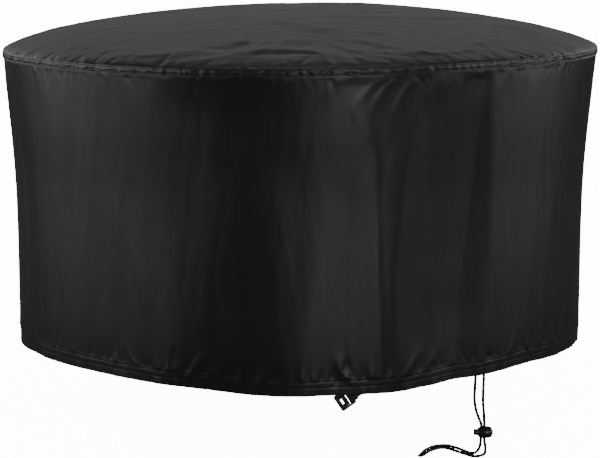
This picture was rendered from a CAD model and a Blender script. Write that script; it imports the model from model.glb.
"""Looks of a round patio furniture cover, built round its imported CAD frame.

Metres, +Z up, front towards -Y. The origin is the underside of the cloth at the centre of the top.
Angles round the cover are counted from the front, in degrees, positive towards +X. A share runs from 0 at the
seam line to 1 at the hem's edge.
"""

import logging
import math
from dataclasses import dataclass
from enum import Enum

import bpy
import numpy as np
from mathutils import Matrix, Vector


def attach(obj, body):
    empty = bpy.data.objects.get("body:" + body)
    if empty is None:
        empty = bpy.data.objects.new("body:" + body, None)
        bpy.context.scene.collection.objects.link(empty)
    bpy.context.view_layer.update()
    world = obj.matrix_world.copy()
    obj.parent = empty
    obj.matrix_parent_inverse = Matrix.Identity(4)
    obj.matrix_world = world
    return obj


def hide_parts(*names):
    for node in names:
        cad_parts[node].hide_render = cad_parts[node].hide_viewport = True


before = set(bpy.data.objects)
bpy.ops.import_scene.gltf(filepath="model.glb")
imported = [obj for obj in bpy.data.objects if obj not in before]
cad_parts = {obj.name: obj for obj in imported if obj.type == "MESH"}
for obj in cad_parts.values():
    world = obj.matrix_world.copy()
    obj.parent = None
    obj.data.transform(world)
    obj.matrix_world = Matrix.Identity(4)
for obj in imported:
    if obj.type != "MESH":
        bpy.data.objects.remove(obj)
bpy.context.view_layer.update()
BODY = "cover"
BUTTON_BODY = "button"
log = logging.getLogger("patio_cover")

Rows = tuple[tuple[float, ...], ...]


# ---------------------------------------------------------------------------------------------- sums


def smooth_step(value: np.ndarray, low: float, high: float) -> np.ndarray:
    """Ease from 0 at low to 1 at high.

    Formula: with t the share of the way from low to high, kept within 0 and 1, the result is t squared times
    (3 less 2 t).

    Args:
        value: Places to read the ease at.
        low: Where the ease starts.
        high: Where the ease ends.

    Returns:
        The eased values.
    """
    t = np.clip((value - low) / (high - low), 0.0, 1.0)
    return t * t * (3.0 - 2.0 * t)


def ease_table(rows: Rows, column: int, at: np.ndarray) -> np.ndarray:
    """Read one column of a table on a smooth curve that never overshoots its rows.

    Formula: cubic pieces between rows. The slope at a row is the harmonic mean of the slopes of the straight lines
    on its two sides, or flat where those turn.

    Args:
        rows: Rows of numbers, the first column rising.
        column: The column to read.
        at: Values of the first column to read it at.

    Returns:
        The values of the column.
    """
    keys = np.array([row[0] for row in rows])
    values = np.array([row[column] for row in rows])
    gaps = np.diff(keys)
    lines = np.diff(values) / gaps
    slopes = np.zeros_like(values)
    before, after = lines[:-1], lines[1:]
    same = before * after > 0.0
    total = np.where(same, before + after, 1.0)
    slopes[1:-1] = np.where(same, 2.0 * before * after / total, 0.0)
    slopes[0], slopes[-1] = lines[0], lines[-1]
    spot = np.clip(at, keys[0], keys[-1])
    index = np.clip(np.searchsorted(keys, spot, side="right") - 1, 0, len(keys) - 2)
    gap = gaps[index]
    t = (spot - keys[index]) / gap
    start = (1.0 + 2.0 * t) * (1.0 - t) ** 2 * values[index] + t * (1.0 - t) ** 2 * gap * slopes[index]
    end = t * t * (3.0 - 2.0 * t) * values[index + 1] + t * t * (t - 1.0) * gap * slopes[index + 1]
    return start + end


def around(angle: np.ndarray, centre: np.ndarray | float) -> np.ndarray:
    """Give the angle from a centre the short way round, in degrees."""
    return (angle - centre + 180.0) % 360.0 - 180.0


def hump(away: np.ndarray, left: np.ndarray | float, right: np.ndarray | float) -> np.ndarray:
    """Give a bell curve with its own half width on each side.

    Formula: e to the power of minus the square of the distance over the half width of that side.

    Args:
        away: Distance from the middle, negative on the left.
        left: Half width on the left.
        right: Half width on the right.

    Returns:
        The bell's height, 1 in the middle.
    """
    half = np.where(away < 0.0, left, right)
    return np.exp(-((away / half) ** 2))


def wave_field(x: np.ndarray, y: np.ndarray, seed: int, count: int, short: float, long: float) -> np.ndarray:
    """Give a smooth random field made of waves that all run about the same way.

    Formula: the mean of many cosines. Each has a random phase and a random wavelength within a factor of two of
    the short length across and of the long length along.

    Args:
        x: Distance across the streaks, in metres.
        y: Distance along the streaks, in metres.
        seed: Seed of the random numbers.
        count: Number of waves.
        short: Typical wavelength across the streaks.
        long: Typical wavelength along the streaks.

    Returns:
        The field, about 1 high.
    """
    dice = np.random.default_rng(seed)
    across = math.tau / (short * 2.0 ** dice.uniform(-1.0, 1.0, count))
    along = math.tau / (long * 2.0 ** dice.uniform(-1.0, 1.0, count)) * dice.choice([-1.0, 1.0], count)
    phase = dice.uniform(0.0, math.tau, count)
    total = np.zeros_like(x)
    for wave_x, wave_y, start in zip(across, along, phase):
        total += np.cos(wave_x * x + wave_y * y + start)
    return total / math.sqrt(count / 2.0)


def grid_normals(grid: np.ndarray, closed: bool) -> np.ndarray:
    """Give a unit normal at every point of a grid.

    Formula: the cross product of the step down the rows and the step along the columns, made one long.

    Args:
        grid: Points, as rows by columns by 3.
        closed: Whether the columns join up into rings.

    Returns:
        Normals of the same shape.
    """
    if closed:
        along = np.roll(grid, -1, axis=1) - np.roll(grid, 1, axis=1)
    else:
        along = np.gradient(grid, axis=1)
    down = np.gradient(grid, axis=0)
    normal = np.cross(down, along)
    return normal / np.maximum(np.linalg.norm(normal, axis=2, keepdims=True), 1e-12)


def grid_quads(rows: int, columns: int, closed: bool, first: int = 0) -> np.ndarray:
    """List the four-sided faces of a grid of points.

    Args:
        rows: Number of rows.
        columns: Number of points in a row.
        closed: Whether each row joins up into a ring.
        first: Number of the grid's first point.

    Returns:
        An array of four point numbers a face.
    """
    index = np.arange(rows * columns).reshape(rows, columns) + first
    after = np.roll(index, -1, axis=1) if closed else index[:, 1:]
    here = index if closed else index[:, :-1]
    faces = np.stack([here[:-1], after[:-1], after[1:], here[1:]], axis=-1)
    return faces.reshape(-1, 4)


# -------------------------------------------------------------------------------------------- meshes


def place_mesh(
    name: str,
    points: np.ndarray,
    faces: list[np.ndarray],
    uv: np.ndarray | None = None,
    smooth: bool = True,
    sharp: float | None = None,
) -> bpy.types.Object:
    """Put arrays of points and faces into a mesh object.

    Args:
        name: Name of the piece.
        points: Points, as count by 3.
        faces: Arrays of point numbers, each with its own number of corners a face.
        uv: Flat coordinates of each point, as count by 2, in metres.
        smooth: Whether faces are shaded smooth.
        sharp: Angle in degrees past which an edge is shaded sharp.

    Returns:
        The new object.
    """
    mesh = bpy.data.meshes.new(name)
    corners = np.concatenate([block.reshape(-1) for block in faces]).astype(np.int32)
    sizes = np.concatenate([np.full(len(block), block.shape[1]) for block in faces]).astype(np.int32)
    starts = np.concatenate([[0], np.cumsum(sizes)[:-1]]).astype(np.int32)
    mesh.vertices.add(len(points))
    mesh.vertices.foreach_set("co", points.astype(np.float32).reshape(-1))
    mesh.loops.add(len(corners))
    mesh.loops.foreach_set("vertex_index", corners)
    mesh.polygons.add(len(sizes))
    mesh.polygons.foreach_set("loop_start", starts)
    mesh.polygons.foreach_set("use_smooth", np.full(len(sizes), smooth))
    if uv is not None:
        layer = mesh.uv_layers.new(name="flat")
        layer.data.foreach_set("uv", uv[corners].astype(np.float32).reshape(-1))
    mesh.update(calc_edges=True)
    mesh.validate()
    if sharp is not None:
        mesh.set_sharp_from_angle(angle=math.radians(sharp))
    item = bpy.data.objects.new(name, mesh)
    bpy.context.scene.collection.objects.link(item)
    return item


def settle(item: bpy.types.Object) -> None:
    """Apply every modifier of a piece to its mesh."""
    graph = bpy.context.evaluated_depsgraph_get()
    made = bpy.data.meshes.new_from_object(item.evaluated_get(graph))
    item.modifiers.clear()
    item.data = made


def cut_away(item: bpy.types.Object, cutter: bpy.types.Object) -> None:
    """Cut one piece out of another, and remove the cutter."""
    change = item.modifiers.new("cut", "BOOLEAN")
    change.operation = "DIFFERENCE"
    change.solver = "EXACT"
    change.object = cutter
    settle(item)
    bpy.data.objects.remove(cutter, do_unlink=True)


def soften_edges(item: bpy.types.Object, width: float, angle: float = 35.0) -> None:
    """Round off the sharp edges of a hard piece, and shade it smooth.

    Args:
        item: The piece.
        width: Width of the rounding, in metres.
        angle: Angle in degrees past which an edge is rounded.
    """
    change = item.modifiers.new("edges", "BEVEL")
    change.width = width
    change.segments = 2
    change.limit_method = "ANGLE"
    change.angle_limit = math.radians(angle)
    settle(item)
    item.data.polygons.foreach_set("use_smooth", [True] * len(item.data.polygons))
    item.data.set_sharp_from_angle(angle=math.radians(50.0))


def extrude_outline(name: str, low: np.ndarray, high: np.ndarray) -> bpy.types.Object:
    """Join two matching outlines into a closed solid with flat ends.

    Args:
        name: Name of the piece.
        low: Outline of one end, as count by 3.
        high: Outline of the other end, in the same order.

    Returns:
        The new object, its faces turned outward.
    """
    count = len(low)
    here = np.arange(count)
    after = np.roll(here, -1)
    sides = np.stack([here, after, after + count, here + count], axis=-1)
    caps = np.stack([here[::-1], here + count])
    item = place_mesh(name, np.concatenate([low, high]), [caps, sides], smooth=False)
    turn_outward(item)
    return item


def turn_outward(item: bpy.types.Object) -> None:
    """Turn a closed mesh inside out if it holds a negative volume.

    Formula: the volume is the sum, over triangles, of the triple product of their corners, over six.

    Args:
        item: The piece.
    """
    mesh = item.data
    mesh.calc_loop_triangles()
    points = np.empty(len(mesh.vertices) * 3)
    mesh.vertices.foreach_get("co", points)
    corners = np.empty(len(mesh.loop_triangles) * 3, dtype=np.int32)
    mesh.loop_triangles.foreach_get("vertices", corners)
    tri = points.reshape(-1, 3)[corners.reshape(-1, 3)]
    tri = tri - tri.mean(axis=(0, 1))
    volume = np.einsum("ij,ij->i", tri[:, 0], np.cross(tri[:, 1], tri[:, 2])).sum() / 6.0
    if volume < 0.0:
        mesh.flip_normals()


# ------------------------------------------------------------------------------------- cover's shape


@dataclass(frozen=True)
class CoverShape:
    """Sizes that the top and the skirt share, and the plain form of both."""

    cloth: float = 0.0016
    hem_cloth: float = 0.0030
    seam_radius: float = 0.632
    crown_height: float = 0.105
    skirt_height: float = 0.597
    lap_gap: float = 0.0004
    lap_height: float = 0.0120
    tuck: float = 0.0100
    fold_start: float = 0.10
    front_half: float = 105.0
    front_columns: int = 584
    back_columns: int = 172
    seam_rise: Rows = (
        (-180.0, 0.002),
        (-70.0, 0.001),
        (-50.0, 0.003),
        (-20.0, 0.002),
        (10.0, 0.005),
        (25.0, 0.009),
        (45.0, 0.010),
        (90.0, 0.009),
        (140.0, 0.007),
        (180.0, 0.002),
    )
    hem_rise: Rows = (
        (-180.0, 0.000),
        (-120.0, -0.004),
        (-90.0, -0.012),
        (-74.0, -0.005),
        (-58.0, 0.003),
        (-40.0, 0.007),
        (-20.0, 0.003),
        (-8.0, -0.004),
        (8.0, -0.002),
        (16.0, -0.001),
        (24.0, 0.003),
        (30.0, 0.008),
        (38.0, 0.011),
        (46.0, 0.014),
        (58.0, 0.007),
        (74.0, -0.004),
        (90.0, -0.012),
        (120.0, -0.004),
        (180.0, 0.000),
    )
    # Share of the skirt's height, radius of its outside.
    skirt_profile: Rows = (
        (-0.02, 0.6314),
        (0.010, 0.6297),
        (0.100, 0.6245),
        (0.200, 0.6193),
        (0.300, 0.6143),
        (0.400, 0.6105),
        (0.520, 0.6082),
        (0.640, 0.6073),
        (0.760, 0.6070),
        (0.860, 0.6070),
        (0.930, 0.6068),
        (1.0, 0.6062),
    )
    # Share of the seam radius, share of the crown height lost.
    top_profile: Rows = (
        (0.0, 0.0),
        (0.20, 0.022),
        (0.40, 0.091),
        (0.56, 0.185),
        (0.70, 0.310),
        (0.81, 0.440),
        (0.89, 0.572),
        (0.945, 0.690),
        (0.975, 0.770),
        (0.990, 0.822),
        (0.998, 0.860),
        (1.0, 0.886),
    )
    # Angle under the seam, angle at the hem, half widths to the left and right, height under the seam and at the hem.
    broad_folds: Rows = (
        (-78.0, -74.0, 9.0, 9.0, 0.0015, 0.0035),
        (72.0, 70.0, 8.0, 9.0, -0.0010, -0.0030),
        (104.0, 100.0, 9.0, 10.0, 0.0020, 0.0050),
        (131.0, 134.0, 9.0, 10.0, -0.0020, -0.0050),
        (158.0, 154.0, 9.0, 10.0, 0.0020, 0.0055),
        (-164.0, -170.0, 9.0, 10.0, -0.0020, -0.0045),
        (-138.0, -136.0, 9.0, 10.0, 0.0020, 0.0050),
        (-108.0, -112.0, 9.0, 10.0, -0.0015, -0.0040),
    )
    # Places on the top, across and deep, half width, rise.
    swells: Rows = (
        (0.16, 0.10, 0.24, 0.0050),
        (-0.24, -0.20, 0.14, -0.0020),
        (0.30, -0.16, 0.12, 0.0025),
        (0.10, -0.36, 0.09, -0.0020),
        (-0.18, 0.26, 0.14, 0.0020),
    )

    def columns(self) -> np.ndarray:
        """Give the angles of the mesh columns, close together at the front."""
        front = np.linspace(-self.front_half, self.front_half, self.front_columns, endpoint=False)
        back = np.linspace(self.front_half, 360.0 - self.front_half, self.back_columns, endpoint=False)
        return np.concatenate([front, back])

    def seam_line(self, angle: np.ndarray) -> np.ndarray:
        """Give the height of the seam line at each angle."""
        return self.cloth - self.crown_height + ease_table(self.seam_rise, 1, around(angle, 0.0))

    def hem_line(self, angle: np.ndarray) -> np.ndarray:
        """Give the height of the hem's edge at each angle."""
        level = self.cloth - self.crown_height - self.skirt_height
        return level + ease_table(self.hem_rise, 1, around(angle, 0.0))

    def broad_shift(self, angle: np.ndarray, share: np.ndarray) -> np.ndarray:
        """Work out how far the broad folds push the skirt out.

        Formula: the sum of one bell a fold. Its middle, width and height change evenly from seam to hem, and the
        sum fades in over the first tenth of the height.

        Args:
            angle: Angles, as a grid.
            share: Shares of the height, as a grid.

        Returns:
            The shift, in metres.
        """
        total = np.zeros_like(angle)
        for top_at, foot_at, left, right, top_high, foot_high in self.broad_folds:
            centre = top_at + (foot_at - top_at) * share
            high = top_high + (foot_high - top_high) * share
            total += high * hump(around(angle, centre), left, right)
        return total * smooth_step(share, 0.0, self.fold_start)

    def swell(self, x: np.ndarray, y: np.ndarray) -> np.ndarray:
        """Work out the broad unevenness of the top.

        Formula: the sum of one round bell a swell, less its height at the centre, so the centre stays put.

        Args:
            x: Places to the right, in metres.
            y: Places to the back, in metres.

        Returns:
            The rise, in metres.
        """
        total = np.zeros_like(x)
        for centre_x, centre_y, half, rise in self.swells:
            away = ((x - centre_x) ** 2 + (y - centre_y) ** 2) / half**2
            total += rise * (np.exp(-away) - math.exp(-(centre_x**2 + centre_y**2) / half**2))
        return total


@dataclass(frozen=True)
class Fold:
    """One fold or crease of the skirt, along a path from top to bottom.

    Each row of the path is: share of the skirt's height, angle, half width to the left, half width to the right,
    height. Angles and widths are in degrees, the height is in millimetres, and a hollow is negative.
    """

    path: Rows

    def shift(self, angle: np.ndarray, share: np.ndarray) -> np.ndarray:
        """Work out how far the fold pushes the cloth out.

        Formula: at each level, a bell across the fold, its middle, half widths and height read smoothly from the
        path. Past the ends of the path the fold has faded out.

        Args:
            angle: Angles, as rows by columns.
            share: Shares of the height, as rows by 1.

        Returns:
            The shift, in metres.
        """
        level = share[:, :1]
        centre, left, right, high = (ease_table(self.path, column, level) for column in (1, 2, 3, 4))
        start = self.path[0][0]
        inside = np.where(level <= self.path[-1][0], smooth_step(level, start - 0.06, start + 0.03), 0.0)
        return high * 0.001 * inside * hump(around(angle, centre), left, right)


@dataclass(frozen=True)
class Pleat:
    """One fold of the skirt with plane sides: a fall or a rise, a floor or a crown, and the way back.

    Each row of the path is: share of the skirt's height, angle of the left foot, start and end of the floor or the
    crown, angle of the right foot, height. Angles are in degrees, the height is in millimetres, and a hollow is
    negative.
    """

    path: Rows
    edge: float = 0.30

    def shift(self, angle: np.ndarray, share: np.ndarray) -> np.ndarray:
        """Work out how far the pleat pushes the cloth out.

        Formula: a soft ramp is edge times the logarithm of 1 plus e to the (angle over edge). The left side is the
        difference of two ramps, at the left foot and at the start of the crown, times its slope. The right side is
        the difference of two more, at the end of the crown and at the right foot, taken away.

        Args:
            angle: Angles, as rows by columns.
            share: Shares of the height, as rows by 1.

        Returns:
            The shift, in metres.
        """
        level = share[:, :1]
        left, start, end, right, high = (ease_table(self.path, column, level) for column in (1, 2, 3, 4, 5))

        def ramp(foot: np.ndarray) -> np.ndarray:
            """Rise evenly right of the foot, with a soft beginning."""
            return self.edge * np.logaddexp(0.0, (angle - foot) / self.edge)

        rise = (ramp(left) - ramp(start)) / (start - left)
        fall = (ramp(end) - ramp(right)) / (right - end)
        return high * 0.001 * (rise - fall)


# The folds of the front, from left to right.
FRONT_FOLDS = (
    # Shallow hollow beside the left outline.
    Fold(((0.02, -67.0, 2.5, 3.0, -1.0), (0.50, -66.0, 2.5, 3.0, -2.5), (1.0, -65.0, 2.5, 3.0, -2.0))),
    # Soft ridge from high on the left down to the right.
    Fold(((0.05, -50.0, 6.0, 6.0, 0.4), (0.40, -38.0, 6.0, 6.5, 1.2), (0.75, -27.0, 6.0, 7.0, 1.6), (1.0, -22.0, 6.0, 7.0, 1.6))),
    # Hollow between the two soft ridges.
    Fold(((0.30, -53.0, 6.0, 7.0, 0.0), (0.60, -46.0, 6.0, 7.0, -1.0), (1.0, -40.0, 6.0, 7.0, -1.4))),
    # Shaded pull from the seam down to the right.
    Pleat(((0.00, -24.5, -19.5, -14.0, -2.0, 0.0), (0.05, -24.5, -18.0, -11.0, 3.0, -2.2),
           (0.12, -23.0, -17.0, -11.0, 3.0, -4.4), (0.22, -20.5, -15.5, -12.0, 2.0, -3.6),
           (0.38, -19.0, -14.5, -12.0, 2.0, 0.0)), 1.0),
    # Lit slope that reaches furthest right half way down.
    Pleat(((0.16, -18.5, -15.0, -14.0, 0.0, 0.0), (0.28, -18.0, -13.8, -13.0, 0.0, 2.0),
           (0.42, -17.5, -12.3, -11.8, 1.0, 3.8), (0.58, -17.5, -13.6, -13.0, 0.0, 2.2),
           (0.72, -17.5, -15.0, -14.0, 0.0, 0.0)), 0.8),
    # Shaded slope over the hem, left of the middle.
    Pleat(((0.76, -19.0, -15.0, -13.0, -1.0, 0.0), (0.88, -21.5, -16.0, -12.0, 1.0, -3.0),
           (1.0, -26.0, -17.0, -12.0, 2.0, -7.0)), 0.8),
    # Lit foot of the plane right of the middle, which widens to the left on the way down.
    Pleat(((0.40, -4.0, 1.5, 2.0, 5.5, 0.0), (0.60, -5.0, 1.0, 2.0, 5.2, 1.0), (0.76, -7.0, -0.5, 0.5, 5.0, 3.0),
           (0.88, -9.0, -2.0, -1.2, 4.8, 5.0), (1.0, -10.0, -2.6, -1.8, 4.8, 5.5)), 0.6),
    # Long plane left of the long trough, the trough's floor, and the plane that falls away right of it.
    Pleat(((0.05, 8.4, 9.4, 18.8, 22.0, 0.0), (0.15, 8.5, 11.0, 19.4, 23.5, 1.2), (0.30, 8.4, 13.2, 18.6, 23.2, 3.8),
           (0.45, 8.2, 13.7, 18.0, 22.6, 5.0), (0.65, 8.0, 13.8, 16.9, 21.6, 5.6), (0.85, 7.8, 14.6, 16.3, 21.4, 6.0),
           (1.0, 7.8, 15.4, 16.6, 21.8, 5.6)), 0.16),
    # Shaded crease that deepens the trough's left edge.
    Pleat(((0.14, 12.0, 13.0, 13.2, 17.0, 0.0), (0.25, 13.1, 13.9, 14.3, 18.4, -1.0), (0.50, 13.7, 14.4, 14.9, 17.6, -1.1),
           (0.80, 14.3, 14.9, 15.3, 16.9, -0.8), (1.0, 15.3, 15.8, 16.0, 17.0, -0.5)), 0.14),
    # Fold that swings from the seam into the long trough.
    Fold(((0.01, 13.5, 0.8, 1.4, 0.8), (0.06, 10.6, 0.8, 1.4, 0.9), (0.10, 9.0, 0.8, 1.5, 0.9), (0.15, 10.2, 0.9, 1.4, 0.6),
          (0.22, 12.6, 1.0, 1.0, 0.0))),
    # Two soft ridges that sweep down to the left.
    Fold(((0.02, 30.0, 0.9, 1.0, 0.5), (0.12, 27.0, 1.0, 1.1, 1.1), (0.25, 24.0, 1.1, 1.2, 1.3), (0.42, 21.4, 1.1, 1.2, 1.0),
          (0.60, 19.4, 1.1, 1.2, 0.6), (0.80, 18.4, 1.1, 1.2, 0.2), (1.0, 18.0, 1.1, 1.2, 0.0))),
    Fold(((0.02, 33.0, 0.9, 0.9, 0.5), (0.14, 31.2, 1.1, 1.1, 1.2), (0.30, 29.4, 1.2, 1.1, 1.5), (0.50, 27.2, 1.2, 1.1, 1.3),
          (0.68, 25.6, 1.2, 1.2, 0.8), (1.0, 24.6, 1.2, 1.2, 0.4))),
    Fold(((0.10, 29.2, 0.8, 0.9, -0.3), (0.30, 26.8, 0.9, 1.0, -0.8), (0.55, 24.0, 1.0, 1.0, -0.8), (0.80, 22.4, 1.0, 1.0, -0.4),
          (1.0, 22.0, 1.0, 1.0, 0.0))),
    # Sharp trough from the seam to the hem: a long fall, and a steeper rise that lies in the shade.
    Pleat(((0.00, 30.0, 33.8, 34.0, 35.2, -1.8), (0.10, 22.0, 33.6, 33.8, 35.6, -5.0), (0.20, 20.0, 33.3, 33.5, 36.4, -8.6),
           (0.32, 18.6, 33.0, 33.2, 36.9, -11.5), (0.46, 18.0, 32.4, 32.6, 37.2, -14.0), (0.60, 17.2, 31.4, 31.6, 37.2, -15.5),
           (0.75, 17.2, 30.2, 30.5, 36.8, -15.5), (0.88, 18.0, 29.4, 29.8, 35.6, -12.5), (1.0, 19.0, 29.0, 29.6, 34.8, -9.0)), 0.30),
    # Sharp line beside its bottom.
    Pleat(((0.30, 31.8, 33.2, 33.3, 33.8, 0.0), (0.60, 31.0, 33.2, 33.3, 33.8, -0.3), (0.80, 30.0, 33.0, 33.1, 33.6, -0.8),
           (1.0, 29.4, 32.8, 32.9, 33.4, -0.6)), 0.10),
    # Smooth swell right of it.
    Fold(((0.02, 46.0, 5.0, 6.0, 0.6), (0.35, 44.0, 4.5, 6.0, 1.4), (0.70, 42.0, 4.0, 7.0, 2.0), (1.0, 42.0, 4.5, 7.0, 2.0))),
    # Shallow hollow beside the right outline.
    Fold(((0.02, 68.0, 3.0, 2.5, -1.0), (0.50, 66.0, 3.0, 2.5, -2.6), (1.0, 64.0, 3.0, 2.5, -2.0))),
    # Shaded tuck under the seam, right of the middle.
    Fold(((0.00, 10.5, 5.5, 4.5, 0.0), (0.035, 10.5, 5.5, 4.5, -1.0), (0.09, 9.5, 5.0, 4.0, -0.6), (0.18, 9.0, 4.0, 4.0, 0.0))),
    # Fan of short folds under the seam.
    Fold(((0.005, 16.8, 0.5, 0.7, 0.7), (0.05, 14.0, 0.6, 0.9, 0.8), (0.10, 12.4, 0.7, 0.9, 0.3), (0.14, 11.6, 0.7, 0.9, 0.0))),
    Fold(((0.005, 20.0, 0.5, 0.7, 0.8), (0.06, 17.6, 0.6, 1.0, 0.9), (0.13, 16.0, 0.8, 1.2, 0.5), (0.20, 16.4, 0.8, 1.2, 0.0))),
    Fold(((0.005, 22.0, 0.5, 0.6, -0.6), (0.06, 19.8, 0.6, 0.8, -1.0), (0.13, 18.4, 0.7, 1.0, -0.5), (0.18, 18.2, 0.7, 1.0, 0.0))),
    Fold(((0.005, 24.8, 0.5, 0.7, 0.8), (0.07, 22.0, 0.7, 1.0, 0.9), (0.14, 20.2, 0.8, 1.1, 0.5), (0.22, 19.4, 0.8, 1.1, 0.0))),
    Fold(((0.005, 31.0, 0.5, 0.6, -0.6), (0.08, 28.6, 0.7, 0.8, -1.1), (0.16, 26.8, 0.8, 1.0, -0.6), (0.24, 25.8, 0.8, 1.0, 0.0))),
    Fold(((0.005, 6.4, 0.5, 0.7, 0.5), (0.04, 5.0, 0.6, 0.8, 0.8), (0.09, 4.0, 0.7, 0.9, 0.0))),
    Fold(((0.005, 39.0, 0.8, 1.0, 0.5), (0.06, 37.4, 0.9, 1.2, 0.9), (0.14, 37.0, 1.0, 1.3, 0.0))),
    # Short pulls over the hem.
    Fold(((0.86, 22.6, 0.7, 0.8, 0.0), (0.91, 20.8, 0.7, 0.8, 1.0), (0.955, 18.2, 0.6, 0.7, 0.8), (0.975, 17.0, 0.6, 0.7, 0.0))),
    Fold(((0.87, 26.4, 0.7, 0.8, 0.0), (0.92, 24.4, 0.7, 0.8, 1.0), (0.955, 22.4, 0.6, 0.7, 0.7), (0.975, 21.4, 0.6, 0.7, 0.0))),
    Fold(((0.88, 8.4, 0.6, 0.7, 0.0), (0.92, 8.0, 0.6, 0.7, -1.6), (0.96, 6.6, 0.6, 0.7, -1.2), (0.98, 6.0, 0.6, 0.7, 0.0))),
    Fold(((0.86, 6.6, 0.6, 0.7, 0.0), (0.91, 7.0, 0.7, 0.8, 1.3), (0.955, 9.0, 0.7, 0.8, 0.9), (0.98, 9.8, 0.6, 0.7, 0.0))),
    Fold(((0.86, -16.6, 0.8, 0.9, 0.0), (0.92, -18.8, 0.8, 0.9, 1.2), (0.96, -20.0, 0.7, 0.8, 0.8), (0.98, -20.4, 0.6, 0.7, 0.0))),
    Fold(((0.86, -22.6, 0.8, 0.9, 0.0), (0.93, -23.6, 0.8, 0.9, -1.4), (0.96, -23.4, 0.7, 0.8, -1.0), (0.98, -23.0, 0.6, 0.7, 0.0))),
)


@dataclass(frozen=True)
class Puckers:
    """A run of small gathers along a line of stitching."""

    seed: int
    spacing: float
    half: tuple[float, float]
    reach: tuple[float, float]
    height: tuple[float, float]
    lean: float

    def shift(self, arc: np.ndarray, away: np.ndarray, length: float) -> np.ndarray:
        """Work out the relief of the gathers.

        Formula: each gather is a bell along the stitching, one or two yarn bundles wide, that leans a little and
        dies out with distance from the stitching. Its place, width, reach, height and sign come from seeded dice.

        Args:
            arc: Distance along the stitching, in metres, as rows by columns.
            away: Distance from the stitching, in metres, the same shape.
            length: Whole length of the line of stitching.

        Returns:
            The relief, in metres.
        """
        dice = np.random.default_rng(self.seed)
        count = int(length / self.spacing)
        spots = (np.arange(count) + dice.uniform(-0.35, 0.35, count)) * length / count
        halves = dice.uniform(*self.half, count)
        reaches = dice.uniform(*self.reach, count)
        heights = dice.uniform(*self.height, count) * dice.choice([-1.0, -1.0, 1.0], count)
        leans = dice.normal(0.0, self.lean, count)
        total = np.zeros_like(arc)
        rows = np.flatnonzero((away >= -0.004).any(axis=1) & (away < self.reach[1] * 2.2).any(axis=1))
        near = slice(rows[0], rows[-1] + 1)
        run, off = arc[near], away[near]
        for spot, half, reach, high, lean in zip(spots, halves, reaches, heights, leans):
            gap = (run - spot - lean * off + length / 2.0) % length - length / 2.0
            total[near] += high * np.exp(-((gap / half) ** 2)) * np.exp(-((off / reach) ** 2))
        return total


def stitch_line(
    name: str, points: np.ndarray, normals: np.ndarray, pitch: float, thread: float, closed: bool = True
) -> tuple[np.ndarray, np.ndarray]:
    """Lay one row of stitches along a line on the cloth.

    Formula: stitches are set an even pitch apart. Each is a short six-sided spindle: a ring of half the thread's
    width at a quarter and at three quarters of its length, closed by a point at each end, bedded in the cloth.

    Args:
        name: Name used in messages.
        points: Points along the line, as count by 3.
        normals: Outward normals of the cloth at those points.
        pitch: Distance from stitch to stitch.
        thread: Thickness of the thread.
        closed: Whether the line is a ring.

    Returns:
        The points and the faces of all the stitches.
    """
    if closed:
        points = np.concatenate([points, points[:1]])
        normals = np.concatenate([normals, normals[:1]])
    run = np.concatenate([[0.0], np.cumsum(np.linalg.norm(np.diff(points, axis=0), axis=1))])
    count = max(1, int(run[-1] / pitch))
    middle = (np.arange(count) + 0.5) * run[-1] / count
    long = 0.36 * pitch

    def read(rows: np.ndarray, at: np.ndarray) -> np.ndarray:
        """Read rows of three numbers along the line."""
        return np.stack([np.interp(at, run, rows[:, axis]) for axis in range(3)], axis=-1)

    centre = read(points, middle)
    ahead = read(points, np.minimum(middle + long, run[-1])) - read(points, np.maximum(middle - long, 0.0))
    ahead /= np.linalg.norm(ahead, axis=1, keepdims=True)
    out = read(normals, middle)
    out /= np.linalg.norm(out, axis=1, keepdims=True)
    side = np.cross(out, ahead)
    turn = np.arange(6) * math.tau / 6.0
    rim = side[:, None, :] * np.cos(turn)[None, :, None] + out[:, None, :] * np.sin(turn)[None, :, None]
    bed = centre + out * thread * 0.10
    blocks = [(bed - ahead * long - out * thread * 0.30)[:, None, :]]
    for place in (-0.55, 0.55):
        blocks.append((bed + ahead * long * place)[:, None, :] + rim * thread * 0.5)
    blocks.append((bed + ahead * long - out * thread * 0.30)[:, None, :])
    verts = np.concatenate(blocks, axis=1)
    here = np.arange(6)
    after = np.roll(here, -1)
    caps_a = np.stack([np.zeros(6, int), after + 1, here + 1], axis=-1)
    caps_b = np.stack([np.full(6, 13), here + 7, after + 7], axis=-1)
    side_a = np.stack([here + 1, after + 1, after + 7], axis=-1)
    side_b = np.stack([here + 1, after + 7, here + 7], axis=-1)
    one = np.concatenate([caps_a, caps_b, side_a, side_b])
    faces = one[None, :, :] + (np.arange(count) * 14)[:, None, None]
    log.debug("%s: %d stitches", name, count)
    return verts.reshape(-1, 3), faces.reshape(-1, 3)


def stitch_rows(name: str, lines: list[tuple[np.ndarray, np.ndarray]], pitch: float, thread: float) -> bpy.types.Object:
    """Lay several rows of stitches as one piece.

    Args:
        name: Name of the piece.
        lines: Points and normals of each row.
        pitch: Distance from stitch to stitch.
        thread: Thickness of the thread.

    Returns:
        The new object.
    """
    verts, faces, first = [], [], 0
    for points, normals in lines:
        block, tris = stitch_line(name, points, normals, pitch, thread)
        verts.append(block)
        faces.append(tris + first)
        first += len(block)
    return place_mesh(name, np.concatenate(verts), [np.concatenate(faces)])


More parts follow.
